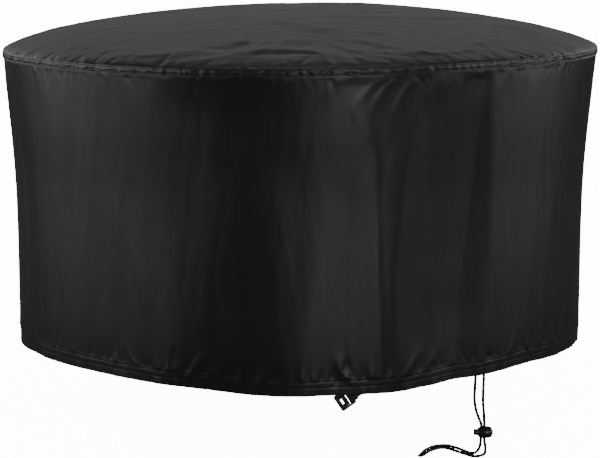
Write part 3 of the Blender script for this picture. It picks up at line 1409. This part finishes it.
@dataclass
class Strap:
    """The webbing strap that hangs below the hem, looped round the bar of its buckle."""

    angle: float = 8.5
    radius: float = 0.566
    height: float = -0.7238
    slant: float = 34.0
    web_width: float = 0.025
    web_cloth: float = 0.0014
    web_length: float = 0.062
    web_tail: float = 0.026
    web_gap: float = 0.0004
    bar_bottom: float = 0.0105
    buckle_ends: tuple[float, float] = (-0.014, 0.019)
    buckle_width: float = 0.0345
    buckle_thick: float = 0.0045
    buckle_corner: float = 0.003
    buckle_edge: float = 0.0011
    # Start along the buckle, end along it, width across it.
    slots: Rows = ((0.0070, 0.0105, 0.0268), (-0.0055, -0.0025, 0.0120))

    def place(self, local: np.ndarray) -> np.ndarray:
        """Turn points given as along, across and outward in the strap's plane into the cover's frame.

        Args:
            local: Points, as anything by 3.

        Returns:
            The same points in the cover's frame.
        """
        swing, slant = math.radians(self.angle), math.radians(self.slant)
        outward = np.array([math.sin(swing), -math.cos(swing), 0.0])
        level = np.array([math.cos(swing), math.sin(swing), 0.0])
        up = np.array([0.0, 0.0, 1.0])
        along = level * math.cos(slant) + up * math.sin(slant)
        across = up * math.cos(slant) - level * math.sin(slant)
        centre = outward * self.radius + up * self.height
        return centre + local @ np.stack([along, across, outward])

    def web_path(self) -> np.ndarray:
        """Give the middle of the webbing, as rows of along and outward, from the far end round the bar."""
        flat = self.buckle_thick / 2.0 + self.web_gap + self.web_cloth / 2.0
        turn = np.linspace(-math.pi / 2.0, -math.pi * 1.5, 17)
        bend = np.stack([self.bar_bottom + 0.0021 * np.cos(turn), flat * np.sin(turn)], axis=-1)
        back = np.linspace(self.web_length, self.bar_bottom + 0.001, 36)
        front = np.linspace(self.bar_bottom + 0.001, self.web_tail, 16)
        rows = [np.stack([back, np.full(36, -flat)], -1), bend, np.stack([front, np.full(16, flat)], -1)]
        return np.concatenate(rows)

    def web_run(self) -> float:
        """Give the length of the webbing."""
        return route_length(self.web_path())

    def build_web(self) -> bpy.types.Object:
        """Build the webbing as a flat band with round selvedges along its path.

        Returns:
            The strap.
        """
        path = self.web_path()
        ahead = np.gradient(path, axis=0)
        ahead /= np.linalg.norm(ahead, axis=1, keepdims=True)
        out = np.stack([-ahead[:, 1], ahead[:, 0]], axis=-1)
        half, bead = self.web_width / 2.0, self.web_cloth / 2.0
        across = np.linspace(-half + bead, half - bead, 25)
        turn = np.linspace(math.pi / 2.0, -math.pi / 2.0, 7)[1:-1]
        right = np.stack([half - bead + bead * np.cos(turn), bead * np.sin(turn)], axis=-1)
        top = np.stack([across, bead * (0.90 + 0.10 * np.cos(across * math.tau / 0.0021))], axis=-1)
        low = top[::-1] * np.array([1.0, -1.0])
        left = right[::-1] * np.array([-1.0, 1.0])
        section = np.concatenate([top, right, low, left])
        offset = section[None, :, 1]
        local = np.stack(
            [
                path[:, :1] + out[:, :1] * offset,
                np.broadcast_to(section[None, :, 0], (len(path), len(section))),
                path[:, 1:] + out[:, 1:] * offset,
            ],
            axis=-1,
        )
        points = self.place(local)
        run = np.concatenate([[0.0], np.cumsum(np.linalg.norm(np.diff(path, axis=0), axis=1))])
        flat = np.stack(np.broadcast_arrays(section[None, :, 0], run[:, None]), axis=-1).reshape(-1, 2)
        count, wide = len(path), len(section)
        here = np.arange(wide)
        caps = np.stack([here, here[::-1] + (count - 1) * wide])
        item = place_mesh("strap_webbing", points.reshape(-1, 3), [grid_quads(count, wide, True), caps], flat, sharp=60.0)
        turn_outward(item)
        return item

    def plate(self, name: str, ends: tuple[float, float], width: float, thick: float, corner: float) -> bpy.types.Object:
        """Build a flat plate with round corners in the strap's plane.

        Args:
            name: Name of the piece.
            ends: Its two ends along the strap.
            width: Its width across the strap.
            thick: Its thickness.
            corner: Radius of its corners.

        Returns:
            The plate.
        """
        low, high = ends
        half = width / 2.0
        quarter = np.linspace(0.0, math.pi / 2.0, 7)
        blocks = []
        spots = ((high - corner, half - corner), (low + corner, half - corner))
        spots += ((low + corner, corner - half), (high - corner, corner - half))
        for turn, (along, across) in enumerate(spots):
            swing = quarter + turn * math.pi / 2.0
            blocks.append(np.stack([along + corner * np.cos(swing), across + corner * np.sin(swing)], axis=-1))
        outline = np.concatenate(blocks)
        under = np.column_stack([outline, np.full(len(outline), -thick / 2.0)])
        over = np.column_stack([outline, np.full(len(outline), thick / 2.0)])
        return extrude_outline(name, self.place(under), self.place(over))

    def build_buckle(self) -> bpy.types.Object:
        """Build the buckle, with its two slots and rounded edges."""
        item = self.plate("buckle", self.buckle_ends, self.buckle_width, self.buckle_thick, self.buckle_corner)
        for start, end, width in self.slots:
            cut_away(item, self.plate("cutter", (start, end), width, 0.02, 0.0008))
        soften_edges(item, self.buckle_edge)
        return item


# ------------------------------------------------------------------------------------------ finishes


class Graph:
    """Adds nodes to one node tree and joins them."""

    def __init__(self, tree: bpy.types.NodeTree) -> None:
        """Start on a tree, emptied."""
        self.tree = tree
        tree.nodes.clear()

    def add(self, kind: str, inputs: dict[str, object] | None = None, **settings: object) -> bpy.types.Node:
        """Add a node, set its properties, and set or join its inputs.

        Args:
            kind: The node's type.
            inputs: Values or output sockets, by the name of the input.
            settings: Properties of the node.

        Returns:
            The node.
        """
        node = self.tree.nodes.new(kind)
        for key, value in settings.items():
            setattr(node, key, value)
        for key, value in (inputs or {}).items():
            self.feed(node.inputs[key], value)
        return node

    def feed(self, socket: bpy.types.NodeSocket, value: object) -> None:
        """Join an output to a socket, or set the socket to a value."""
        if isinstance(value, bpy.types.NodeSocket):
            self.tree.links.new(value, socket)
        else:
            socket.default_value = value

    def sum(self, operation: str, *values: object, clamp: bool = False) -> bpy.types.NodeSocket:
        """Work out one step of arithmetic.

        Args:
            operation: The operation's name.
            values: Its numbers or output sockets.
            clamp: Whether the result is kept within 0 and 1.

        Returns:
            The result.
        """
        node = self.add("ShaderNodeMath", operation=operation, use_clamp=clamp)
        for socket, value in zip(node.inputs, values):
            self.feed(socket, value)
        return node.outputs[0]


def new_group(name: str, inputs: Rows | tuple, outputs: tuple[str, ...]) -> tuple[Graph, bpy.types.Node, bpy.types.Node]:
    """Make an empty shader node group.

    Args:
        name: Name of the group.
        inputs: Rows of name, socket type and usual value, which is None for a vector.
        outputs: Names of its values.

    Returns:
        The graph, its input node and its output node.
    """
    tree = bpy.data.node_groups.new(name, "ShaderNodeTree")
    graph = Graph(tree)
    for label, kind, usual in inputs:
        socket = tree.interface.new_socket(label, in_out="INPUT", socket_type=kind)
        if usual is not None:
            socket.default_value = usual
    for label in outputs:
        tree.interface.new_socket(label, in_out="OUTPUT", socket_type="NodeSocketFloat")
    return graph, graph.add("NodeGroupInput"), graph.add("NodeGroupOutput")


def build_weave() -> bpy.types.NodeTree:
    """Make the relief of a plain weave.

    Formula: with u and v the flat coordinates over the pitch, the higher of two thread sets. Threads one way stand
    up where the sine of half turns of both coordinates is positive, and threads the other way where it is negative.

    Returns:
        The group: Flat and Pitch in, Height out.
    """
    rows = (("Flat", "NodeSocketVector", None), ("Pitch", "NodeSocketFloat", 0.0011))
    graph, given, result = new_group("plain_weave", rows, ("Height",))
    split = graph.add("ShaderNodeSeparateXYZ", {"Vector": given.outputs["Flat"]})
    u = graph.sum("MULTIPLY", graph.sum("DIVIDE", split.outputs["X"], given.outputs["Pitch"]), math.pi)
    v = graph.sum("MULTIPLY", graph.sum("DIVIDE", split.outputs["Y"], given.outputs["Pitch"]), math.pi)
    over = graph.sum("MULTIPLY", graph.sum("SINE", u), graph.sum("SINE", v))
    one = graph.sum("MULTIPLY", graph.sum("ABSOLUTE", graph.sum("SINE", u)), graph.sum("ADD", over, 1.0))
    two = graph.sum("MULTIPLY", graph.sum("ABSOLUTE", graph.sum("SINE", v)), graph.sum("SUBTRACT", 1.0, over))
    graph.feed(result.inputs["Height"], graph.sum("MULTIPLY", graph.sum("MAXIMUM", one, two), 0.5))
    return graph.tree


def build_crumple() -> bpy.types.NodeTree:
    """Make the relief of fine crumples in coated cloth.

    Formula: the ridges of two layers of noise, one about three times finer, both pulled long by Stretch.

    Returns:
        The group: Place, Stretch and Scale in, Height out.
    """
    rows = (
        ("Place", "NodeSocketVector", None),
        ("Stretch", "NodeSocketVector", (1.0, 1.0, 1.0)),
        ("Scale", "NodeSocketFloat", 20.0),
    )
    graph, given, result = new_group("cloth_crumple", rows, ("Height",))
    pulled = graph.add("ShaderNodeVectorMath", operation="MULTIPLY")
    graph.feed(pulled.inputs[0], given.outputs["Place"])
    graph.feed(pulled.inputs[1], given.outputs["Stretch"])
    finer = graph.sum("MULTIPLY", given.outputs["Scale"], 2.9)
    total = None
    for scale, share in ((given.outputs["Scale"], 1.0), (finer, 0.40)):
        noise = graph.add(
            "ShaderNodeTexNoise",
            {"Vector": pulled.outputs[0], "Scale": scale, "Detail": 2.0, "Roughness": 0.5, "Distortion": 0.6},
        )
        ridge = graph.sum("ABSOLUTE", graph.sum("SUBTRACT", noise.outputs["Fac"], 0.5))
        part = graph.sum("MULTIPLY", graph.sum("POWER", ridge, 0.8), share)
        total = part if total is None else graph.sum("ADD", total, part)
    graph.feed(result.inputs["Height"], total)
    return graph.tree


def build_mottle() -> bpy.types.NodeTree:
    """Make a slow unevenness round 1, for tones and roughness.

    Formula: 1 plus Amount times a cloudy noise that runs from -1 to 1.

    Returns:
        The group: Place, Scale and Amount in, Factor out.
    """
    rows = (
        ("Place", "NodeSocketVector", None),
        ("Scale", "NodeSocketFloat", 6.0),
        ("Amount", "NodeSocketFloat", 0.1),
    )
    graph, given, result = new_group("mottle", rows, ("Factor",))
    noise = graph.add(
        "ShaderNodeTexNoise",
        {"Vector": given.outputs["Place"], "Scale": given.outputs["Scale"], "Detail": 4.0, "Roughness": 0.6},
    )
    swing = graph.sum("MULTIPLY", graph.sum("SUBTRACT", noise.outputs["Fac"], 0.5), 2.0)
    graph.feed(result.inputs["Factor"], graph.sum("MULTIPLY_ADD", swing, given.outputs["Amount"], 1.0))
    return graph.tree


def build_yarn() -> bpy.types.NodeTree:
    """Make the relief of yarns that lie side by side.

    Formula: the size of the sine of U over Pitch plus Lean times V over Pitch, in half turns.

    Returns:
        The group: Flat, Pitch and Lean in, Height out.
    """
    rows = (
        ("Flat", "NodeSocketVector", None),
        ("Pitch", "NodeSocketFloat", 0.001),
        ("Lean", "NodeSocketFloat", 0.5),
    )
    graph, given, result = new_group("yarn_rows", rows, ("Height",))
    split = graph.add("ShaderNodeSeparateXYZ", {"Vector": given.outputs["Flat"]})
    leant = graph.sum("MULTIPLY_ADD", split.outputs["Y"], given.outputs["Lean"], split.outputs["X"])
    turn = graph.sum("MULTIPLY", graph.sum("DIVIDE", leant, given.outputs["Pitch"]), math.pi)
    graph.feed(result.inputs["Height"], graph.sum("ABSOLUTE", graph.sum("SINE", turn)))
    return graph.tree


class Surface(Enum):
    """The kinds of surface a finish can have."""

    COATED_CLOTH = "coated cloth"
    YARN = "yarn"
    MOULDED = "moulded plastic"


@dataclass(frozen=True)
class Finish:
    """One finish of the cover: its colour, its shine and its fine relief."""

    name: str
    slot: str
    surface: Surface
    colour: tuple[float, float, float]
    roughness: float
    pitch: float = 0.0011
    relief: float = 0.00006
    crumple: float = 0.0
    stretch: tuple[float, float, float] = (1.0, 1.0, 1.0)
    crumple_scale: float = 20.0
    mottle: float = 0.08
    lean: float = 0.5
    sheen: float = 0.0
    specular: float = 0.5

    def build(self, groups: dict[str, bpy.types.NodeTree]) -> bpy.types.Material:
        """Build the material.

        Args:
            groups: The shared node groups, by name.

        Returns:
            The material.
        """
        material = bpy.data.materials.new(self.name)
        material.use_nodes = True
        graph = Graph(material.node_tree)
        out = graph.add("ShaderNodeOutputMaterial")
        shader = graph.add("ShaderNodeBsdfPrincipled")
        graph.feed(out.inputs["Surface"], shader.outputs["BSDF"])
        spot = graph.add("ShaderNodeTexCoord")
        uneven = self.group(graph, groups["mottle"], Place=spot.outputs["Object"], Scale=7.0, Amount=self.mottle)
        tone = graph.add("ShaderNodeVectorMath", operation="SCALE")
        tone.inputs[0].default_value = self.colour
        graph.feed(tone.inputs["Scale"], uneven)
        graph.feed(shader.inputs["Base Color"], tone.outputs[0])
        wear = self.group(graph, groups["mottle"], Place=spot.outputs["Object"], Scale=23.0, Amount=self.mottle)
        graph.feed(shader.inputs["Roughness"], graph.sum("MULTIPLY", wear, self.roughness, clamp=True))
        shader.inputs["Specular IOR Level"].default_value = self.specular
        shader.inputs["Sheen Weight"].default_value = self.sheen
        shader.inputs["Sheen Roughness"].default_value = 0.4
        height = self.fine_relief(graph, groups, spot)
        bump = graph.add("ShaderNodeBump", {"Height": height, "Strength": 1.0, "Distance": self.relief})
        last = bump.outputs["Normal"]
        if self.crumple > 0.0:
            rough = self.group(
                graph,
                groups["cloth_crumple"],
                Place=spot.outputs["Object"],
                Stretch=self.stretch,
                Scale=self.crumple_scale,
            )
            wide = graph.add("ShaderNodeBump", {"Height": rough, "Strength": 1.0, "Distance": self.crumple})
            graph.feed(bump.inputs["Normal"], wide.outputs["Normal"])
        graph.feed(shader.inputs["Normal"], last)
        return material

    def fine_relief(
        self, graph: Graph, groups: dict[str, bpy.types.NodeTree], spot: bpy.types.Node
    ) -> bpy.types.NodeSocket:
        """Give the height of the finest relief: the weave, the yarns or the mould's grain."""
        if self.surface is Surface.COATED_CLOTH:
            return self.group(graph, groups["plain_weave"], Flat=spot.outputs["UV"], Pitch=self.pitch)
        if self.surface is Surface.YARN:
            return self.group(graph, groups["yarn_rows"], Flat=spot.outputs["UV"], Pitch=self.pitch, Lean=self.lean)
        return self.group(graph, groups["mottle"], Place=spot.outputs["Object"], Scale=1.0 / self.pitch, Amount=0.5)

    def group(self, graph: Graph, tree: bpy.types.NodeTree, **inputs: object) -> bpy.types.NodeSocket:
        """Use a shared node group, and give its only output."""
        node = graph.add("ShaderNodeGroup", node_tree=tree)
        for key, value in inputs.items():
            graph.feed(node.inputs[key], value)
        return node.outputs[0]


def build_groups() -> dict[str, bpy.types.NodeTree]:
    """Make every shared node group, by name."""
    made = (build_weave(), build_crumple(), build_mottle(), build_yarn())
    return {tree.name: tree for tree in made}


TOP_CLOTH = Finish(
    "coated_cloth_top",
    "top_cloth",
    Surface.COATED_CLOTH,
    (0.0152, 0.0151, 0.0146),
    0.36,
    crumple=0.0016,
    stretch=(0.35, 1.0, 1.0),
    crumple_scale=16.0,
    sheen=0.05,
)
SKIRT_CLOTH = Finish(
    "coated_cloth_skirt",
    "skirt_cloth",
    Surface.COATED_CLOTH,
    (0.0132, 0.0134, 0.0132),
    0.335,
    crumple=0.0010,
    stretch=(1.0, 1.0, 0.25),
    crumple_scale=13.0,
    mottle=0.05,
)
STITCH_TOP = Finish("thread_top", "top_cloth", Surface.YARN, (0.003, 0.003, 0.003), 0.90, 0.0004, 0.00003)
STITCH_HEM = Finish("thread_hem", "skirt_cloth", Surface.YARN, (0.003, 0.003, 0.003), 0.90, 0.0004, 0.00003)
CORD = Finish("black_cord", "cord", Surface.YARN, (0.010, 0.010, 0.011), 0.42, 0.00045, 0.00006, lean=0.6)
CORD_END = Finish("joined_cord_end", "cord_end", Surface.MOULDED, (0.009, 0.009, 0.010), 0.33, 0.0009, 0.00005)
LOCK_PLASTIC = Finish("lock_plastic", "lock_plastic", Surface.MOULDED, (0.014, 0.014, 0.0145), 0.34, 0.0006, 0.00004)
BUTTON_PLASTIC = Finish("button_plastic", "button_plastic", Surface.MOULDED, (0.016, 0.0155, 0.015), 0.38, 0.0006, 0.00004)
WEBBING = Finish("black_webbing", "webbing", Surface.YARN, (0.012, 0.012, 0.013), 0.58, 0.0021, 0.00020, lean=0.35)
BUCKLE_PLASTIC = Finish("buckle_plastic", "buckle_plastic", Surface.MOULDED, (0.024, 0.025, 0.027), 0.30, 0.0008, 0.00004)


# --------------------------------------------------------------------------------------------- stage


@dataclass(frozen=True)
class Softbox:
    """One flat soft light that faces the cover."""

    name: str
    azimuth: float
    height: float
    distance: float
    width: float
    tall: float
    watts: float
    tint: tuple[float, float, float] = (1.0, 1.0, 1.0)
    aim: tuple[float, float, float] = (0.0, 0.0, -0.35)

    def build(self) -> bpy.types.Object:
        """Build the light, turned to face its aim."""
        data = bpy.data.lights.new(self.name, "AREA")
        data.shape = "RECTANGLE"
        data.size, data.size_y = self.width, self.tall
        data.energy, data.color = self.watts, self.tint
        item = bpy.data.objects.new(self.name, data)
        turn = math.radians(self.azimuth)
        item.location = (self.distance * math.sin(turn), -self.distance * math.cos(turn), self.height)
        item.rotation_euler = (Vector(self.aim) - item.location).to_track_quat("-Z", "Y").to_euler()
        item.visible_camera = False
        bpy.context.scene.collection.objects.link(item)
        return item


@dataclass
class Stage:
    """The floor, the surroundings, the soft lights and the camera."""

    floor_level: float = -0.8640
    floor_reach: float = 60.0
    floor_glow: float = 14.0
    floor_tone: float = 0.12
    shade_half: float = 0.75
    shade_depth: float = 0.06
    world_glow: float = 0.10
    camera_place: tuple[float, float, float] = (0.0, -4.0, 0.1824)
    camera_pitch: float = -0.1655
    camera_lens: float = 111.38
    camera_sensor: float = 36.0
    lights: tuple[Softbox, ...] = (
        Softbox("left_box", -76.0, 0.35, 4.2, 6.4, 2.4, 92.0),
        Softbox("right_box", 77.0, 0.35, 4.2, 5.4, 2.4, 65.0),
        Softbox("strip", 14.0, -0.05, 4.6, 0.75, 1.7, 32.0, (0.95, 0.93, 1.0)),
        Softbox("overhead", 10.0, 3.6, 0.9, 2.4, 1.6, 20.0),
        Softbox("back_left", -130.0, 1.0, 4.0, 2.6, 2.6, 18.0),
        Softbox("back_right", 130.0, 1.0, 4.0, 2.6, 2.6, 18.0),
        Softbox("back_low", 180.0, 1.1, 3.8, 5.0, 1.2, 2.6, (1.0, 1.0, 1.0), (0.0, 0.0, 0.0)),
        Softbox("back_high", 180.0, 3.0, 3.3, 4.4, 0.8, 12.0, (1.0, 1.0, 1.0), (0.0, 0.0, 0.0)),
    )

    def camera(self) -> bpy.types.Object:
        """Make the camera and put it to use."""
        data = bpy.data.cameras.new("camera")
        data.lens, data.sensor_width = self.camera_lens, self.camera_sensor
        data.clip_end = 200.0
        item = bpy.data.objects.new("camera", data)
        item.location = self.camera_place
        item.rotation_euler = (math.pi / 2.0 + self.camera_pitch, 0.0, 0.0)
        bpy.context.scene.collection.objects.link(item)
        bpy.context.scene.camera = item
        return item

    def floor(self) -> bpy.types.Object:
        """Make the pale floor.

        Formula of its painted shade: 1 less the depth times e to the power of minus the square of the distance
        from the middle over the half width.

        Returns:
            The floor.
        """
        reach, level = self.floor_reach, self.floor_level
        points = np.array([[-reach, -reach, level], [reach, -reach, level], [reach, reach, level], [-reach, reach, level]])
        item = place_mesh("floor", points, [np.array([[0, 1, 2, 3]])], smooth=False)
        material = bpy.data.materials.new("floor_white")
        material.use_nodes = True
        graph = Graph(material.node_tree)
        out = graph.add("ShaderNodeOutputMaterial")
        spot = graph.add("ShaderNodeTexCoord")
        flat = graph.add("ShaderNodeVectorMath", operation="MULTIPLY")
        graph.feed(flat.inputs[0], spot.outputs["Object"])
        flat.inputs[1].default_value = (1.0, 1.0, 0.0)
        size = graph.add("ShaderNodeVectorMath", operation="LENGTH")
        graph.feed(size.inputs[0], flat.outputs[0])
        square = graph.sum("POWER", graph.sum("DIVIDE", size.outputs["Value"], self.shade_half), 2.0)
        shade = graph.sum("MULTIPLY", graph.sum("POWER", math.e, graph.sum("MULTIPLY", square, -1.0)), self.shade_depth)
        glow = graph.sum("MULTIPLY", graph.sum("SUBTRACT", 1.0, shade), self.floor_glow)
        light = graph.add("ShaderNodeEmission", {"Strength": glow})
        plain = graph.add("ShaderNodeBsdfDiffuse", {"Color": (self.floor_tone,) * 3 + (1.0,)})
        path = graph.add("ShaderNodeLightPath")
        mix = graph.add("ShaderNodeMixShader")
        graph.feed(mix.inputs[0], path.outputs["Is Camera Ray"])
        graph.feed(mix.inputs[1], plain.outputs["BSDF"])
        graph.feed(mix.inputs[2], light.outputs["Emission"])
        graph.feed(out.inputs["Surface"], mix.outputs["Shader"])
        item.data.materials.append(material)
        return item

    def world(self) -> None:
        """Make the surroundings: white to the camera, and a soft even glow to everything else."""
        world = bpy.data.worlds.new("studio")
        world.use_nodes = True
        graph = Graph(world.node_tree)
        out = graph.add("ShaderNodeOutputWorld")
        path = graph.add("ShaderNodeLightPath")
        gain = self.floor_glow - self.world_glow
        strength = graph.sum("MULTIPLY_ADD", path.outputs["Is Camera Ray"], gain, self.world_glow)
        glow = graph.add("ShaderNodeBackground", {"Strength": strength})
        graph.feed(out.inputs["Surface"], glow.outputs["Background"])
        bpy.context.scene.world = world

    def build(self) -> None:
        """Build everything round the cover except the camera."""
        self.floor()
        self.world()
        for light in self.lights:
            light.build()


# ---------------------------------------------------------------------------------------------- main


def dress(item: bpy.types.Object, finish: Finish, groups: dict[str, bpy.types.NodeTree], body: str, *nodes: str) -> None:
    """Give a piece its finish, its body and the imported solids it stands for.

    Args:
        item: The piece.
        finish: Its finish.
        groups: The shared node groups.
        body: The body it moves with.
        nodes: The solids it replaces.
    """
    made = bpy.data.materials.get(finish.name) or finish.build(groups)
    item.data.materials.clear()
    item.data.materials.append(made)
    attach(item, body)
    if nodes:
        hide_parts(*nodes)
    log.info("%s: %d faces, finish %s, body %s", item.name, len(item.data.polygons), finish.name, body)


def main() -> None:
    """Build the camera, the cover and the stage."""
    logging.basicConfig(level=logging.INFO, format="%(message)s")
    stage = Stage()
    stage.camera()
    groups = build_groups()
    drawcord = Drawcord()
    left, right, tip = drawcord.build()
    dress(left, CORD, groups, BODY, "drawcord_left")
    dress(right, CORD, groups, BODY, "drawcord_right")
    dress(tip, CORD_END, groups, BODY, "cord_tip")
    barrel, button = CordLock().build()
    dress(barrel, LOCK_PLASTIC, groups, BODY, "cord_lock_barrel")
    dress(button, BUTTON_PLASTIC, groups, BUTTON_BODY, "cord_lock_button")
    for item, strand, pieces in ((left, drawcord.left, (barrel, button)), (right, drawcord.right, (tip,))):
        path = strand.path()
        route_length(path)
    strap = Strap()
    web = strap.build_web()
    buckle = strap.build_buckle()
    dress(web, WEBBING, groups, BODY, "strap")
    dress(buckle, BUCKLE_PLASTIC, groups, BODY, "strap_buckle")
    strap.web_run()
    shape = CoverShape()
    skirt, hem_stitches = Skirt(shape).build()
    dress(skirt, SKIRT_CLOTH, groups, BODY, "skirt")
    dress(hem_stitches, STITCH_HEM, groups, BODY)
    top, seam_stitches = TopPanel(shape).build()
    dress(top, TOP_CLOTH, groups, BODY, "top_panel")
    dress(seam_stitches, STITCH_TOP, groups, BODY)
    stage.build()


if __name__ == "__main__":
    main()
